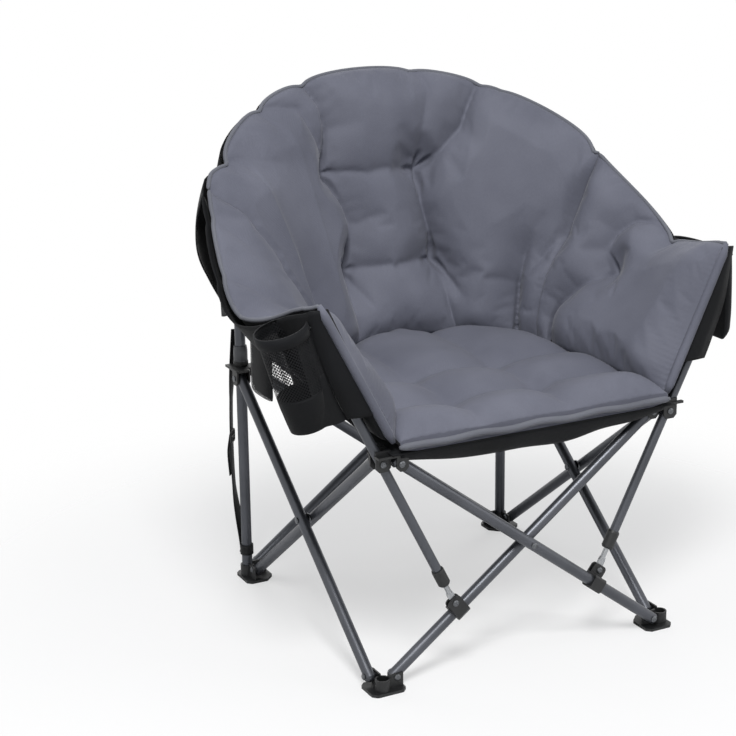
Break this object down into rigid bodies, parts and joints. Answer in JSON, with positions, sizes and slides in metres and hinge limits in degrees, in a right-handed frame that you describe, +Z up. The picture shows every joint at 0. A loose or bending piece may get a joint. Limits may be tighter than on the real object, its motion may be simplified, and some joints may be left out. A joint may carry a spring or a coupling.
{
  "type": "padded folding camping chair",
  "caption": "Padded tub-shaped camping chair on a folding scissor frame of steel tubes, with arm pads, a cup holder and side pockets; it folds up to a narrow bundle.",
  "frame": {"origin": "on the floor under the middle of the chair's bounding box", "axes": "+Z up, the chair faces -Y, its own right-hand side when seen from the front is +X"},
  "size_m": [0.9289, 0.6325, 0.915],
  "materials": {
    "frame_tube": "satin",
    "rivet": "satin",
    "bright_rod": "polished",
    "grey_plastic": "matte",
    "black_plastic": "matte",
    "pad_fabric": "matte",
    "black_fabric": "matte",
    "mesh_fabric": "matte",
    "webbing": "matte"
  },
  "bodies": {
    "rear_left_leg": {"rear_left_foot": "black_plastic", "rear_left_foot_rivets": "rivet", "rear_left_upright": "frame_tube", "back_pad": "pad_fabric", "back_shell": "black_fabric", "closure_strap": "webbing", "strap_loop": "webbing"},
    "rear_right_leg": {"rear_right_foot": "black_plastic", "rear_right_foot_rivets": "rivet", "rear_right_upright": "frame_tube"},
    "front_left_foot": {"front_left_foot": "black_plastic", "front_left_foot_rivets": "rivet"},
    "front_right_foot": {"front_right_foot": "black_plastic", "front_right_foot_rivets": "rivet"},
    "rear_left_hub": {"rear_left_hub": "black_plastic", "rear_left_hub_rivets": "rivet", "rear_left_slide_bush": "grey_plastic"},
    "rear_right_hub": {"rear_right_hub": "black_plastic", "rear_right_hub_rivets": "rivet", "rear_right_slide_bush": "grey_plastic"},
    "front_left_hub": {"front_left_hub": "black_plastic", "front_left_hub_rivets": "rivet"},
    "front_right_hub": {"front_right_hub": "black_plastic", "front_right_hub_rivets": "rivet"},
    "front_inner_tube": {"front_inner_tube": "frame_tube", "front_cross_rivet": "rivet", "front_left_bracket": "black_plastic", "front_left_bracket_rivet": "rivet"},
    "front_outer_tube": {"front_outer_tube": "frame_tube", "front_right_bracket": "black_plastic", "front_right_bracket_rivet": "rivet"},
    "right_inner_tube": {"right_inner_tube": "frame_tube", "right_cross_rivet": "rivet"},
    "right_outer_tube": {"right_outer_tube": "frame_tube"},
    "rear_inner_tube": {"rear_inner_tube": "frame_tube", "rear_cross_rivet": "rivet"},
    "rear_outer_tube": {"rear_outer_tube": "frame_tube"},
    "left_inner_tube": {"left_inner_tube": "frame_tube", "left_cross_rivet": "rivet"},
    "left_outer_tube": {"left_outer_tube": "frame_tube"},
    "front_left_post": {"front_left_post": "frame_tube", "front_left_ferrule": "black_plastic", "left_arm_pad": "pad_fabric", "left_arm_panel": "black_fabric", "cup_holder": "mesh_fabric", "mesh_pocket": "mesh_fabric"},
    "front_right_post": {"front_right_post": "frame_tube", "front_right_ferrule": "black_plastic", "right_arm_pad": "pad_fabric", "right_arm_panel": "black_fabric", "side_pocket": "black_fabric"},
    "front_left_rod": {"front_left_rod": "bright_rod"},
    "front_right_rod": {"front_right_rod": "bright_rod"},
    "seat": {"seat_pad": "pad_fabric", "seat_sling": "black_fabric", "seat_valance": "black_fabric"}
  },
  "joints": [
    {"name": "fold", "type": "hinge", "parent": "rear_left_leg", "child": "rear_outer_tube", "pos_m": [-0.246, 0.271, 0.022], "axis": [0, -1, 0], "range_deg": [0, 39], "deforming": ["back_pad", "back_shell", "left_arm_pad", "left_arm_panel", "right_arm_pad", "right_arm_panel", "cup_holder", "mesh_pocket", "side_pocket", "seat_pad", "seat_sling", "seat_valance"]},
    {"name": "rear_cross", "type": "hinge", "parent": "rear_outer_tube", "child": "rear_inner_tube", "pos_m": [0, 0.26, 0.208], "axis": [0, 1, 0], "range_deg": [0, 78.02]},
    {"name": "rear_right_foot_pivot", "type": "hinge", "parent": "rear_inner_tube", "child": "rear_right_leg", "pos_m": [0.246, 0.249, 0.022], "axis": [0, -1, 0], "range_deg": [0, 39.02]},
    {"name": "rear_left_hub_pivot", "type": "hinge", "parent": "rear_inner_tube", "child": "rear_left_hub", "pos_m": [-0.246, 0.249, 0.394], "axis": [0, -1, 0], "range_deg": [0, 39.02]},
    {"name": "rear_right_hub_pivot", "type": "hinge", "parent": "rear_outer_tube", "child": "rear_right_hub", "pos_m": [0.246, 0.271, 0.394], "axis": [0, 1, 0], "range_deg": [0, 39.02]},
    {"name": "left_foot_pivot", "type": "hinge", "parent": "rear_left_leg", "child": "left_inner_tube", "pos_m": [-0.261, 0.234, 0.022], "axis": [-1, 0, 0], "range_deg": [0, 39.02]},
    {"name": "left_cross", "type": "hinge", "parent": "left_inner_tube", "child": "left_outer_tube", "pos_m": [-0.272, -0.012, 0.208], "axis": [1, 0, 0], "range_deg": [0, 78.02]},
    {"name": "front_left_foot_pivot", "type": "hinge", "parent": "left_outer_tube", "child": "front_left_foot", "pos_m": [-0.283, -0.258, 0.022], "axis": [-1, 0, 0], "range_deg": [0, 39.02]},
    {"name": "front_left_hub_pivot", "type": "hinge", "parent": "left_inner_tube", "child": "front_left_hub", "pos_m": [-0.261, -0.258, 0.394], "axis": [1, 0, 0], "range_deg": [0, 39.02]},
    {"name": "front_foot_pivot", "type": "hinge", "parent": "front_left_foot", "child": "front_inner_tube", "pos_m": [-0.246, -0.273, 0.022], "axis": [0, -1, 0], "range_deg": [0, 39.02]},
    {"name": "front_cross", "type": "hinge", "parent": "front_inner_tube", "child": "front_outer_tube", "pos_m": [0, -0.284, 0.208], "axis": [0, 1, 0], "range_deg": [0, 78.02]},
    {"name": "front_right_foot_pivot", "type": "hinge", "parent": "front_outer_tube", "child": "front_right_foot", "pos_m": [0.246, -0.295, 0.022], "axis": [0, -1, 0], "range_deg": [0, 39.02]},
    {"name": "front_right_hub_pivot", "type": "hinge", "parent": "front_inner_tube", "child": "front_right_hub", "pos_m": [0.246, -0.273, 0.394], "axis": [0, 1, 0], "range_deg": [0, 39.02]},
    {"name": "right_foot_pivot", "type": "hinge", "parent": "rear_right_leg", "child": "right_outer_tube", "pos_m": [0.283, 0.234, 0.022], "axis": [-1, 0, 0], "range_deg": [0, 39.02]},
    {"name": "right_cross", "type": "hinge", "parent": "right_outer_tube", "child": "right_inner_tube", "pos_m": [0.272, -0.012, 0.208], "axis": [1, 0, 0], "range_deg": [0, 78.02]},
    {"name": "front_left_post_pivot", "type": "hinge", "parent": "front_left_hub", "child": "front_left_post", "pos_m": [-0.272, -0.284, 0.394], "axis": [0, 1, 0], "range_deg": [0, 21.46]},
    {"name": "front_right_post_pivot", "type": "hinge", "parent": "front_right_hub", "child": "front_right_post", "pos_m": [0.272, -0.284, 0.394], "axis": [0, -1, 0], "range_deg": [0, 21.46]},
    {"name": "front_left_rod_slide", "type": "slide", "parent": "front_left_post", "child": "front_left_rod", "axis": [0.4483, 0, -0.8939], "range_m": [0, 0.15456]},
    {"name": "front_right_rod_slide", "type": "slide", "parent": "front_right_post", "child": "front_right_rod", "axis": [-0.4483, 0, -0.8939], "range_m": [0, 0.15456]},
    {"name": "seat_fold", "type": "hinge", "parent": "rear_left_hub", "child": "seat", "pos_m": [0, 0.049, 0.567], "axis": [1, 0, 0], "range_deg": [0, 80.02]}
  ],
  "couplings": [
    {"joint": "rear_cross", "follows": "fold", "ratio": 2},
    {"joint": "rear_right_foot_pivot", "follows": "fold", "ratio": 1},
    {"joint": "rear_left_hub_pivot", "follows": "fold", "ratio": 1},
    {"joint": "rear_right_hub_pivot", "follows": "fold", "ratio": 1},
    {"joint": "left_foot_pivot", "follows": "fold", "ratio": 1},
    {"joint": "left_cross", "follows": "fold", "ratio": 2},
    {"joint": "front_left_foot_pivot", "follows": "fold", "ratio": 1},
    {"joint": "front_left_hub_pivot", "follows": "fold", "ratio": 1},
    {"joint": "front_foot_pivot", "follows": "fold", "ratio": 1},
    {"joint": "front_cross", "follows": "fold", "ratio": 2},
    {"joint": "front_right_foot_pivot", "follows": "fold", "ratio": 1},
    {"joint": "front_right_hub_pivot", "follows": "fold", "ratio": 1},
    {"joint": "right_foot_pivot", "follows": "fold", "ratio": 1},
    {"joint": "right_cross", "follows": "fold", "ratio": 2},
    {"joint": "front_left_post_pivot", "follows": "fold", "ratio": 0.54974},
    {"joint": "front_right_post_pivot", "follows": "fold", "ratio": 0.54974},
    {"joint": "front_left_rod_slide", "follows": "fold", "m_per_rad": 0.22678},
    {"joint": "front_right_rod_slide", "follows": "fold", "m_per_rad": 0.22678},
    {"joint": "seat_fold", "follows": "fold", "ratio": 2.0513}
  ]
}
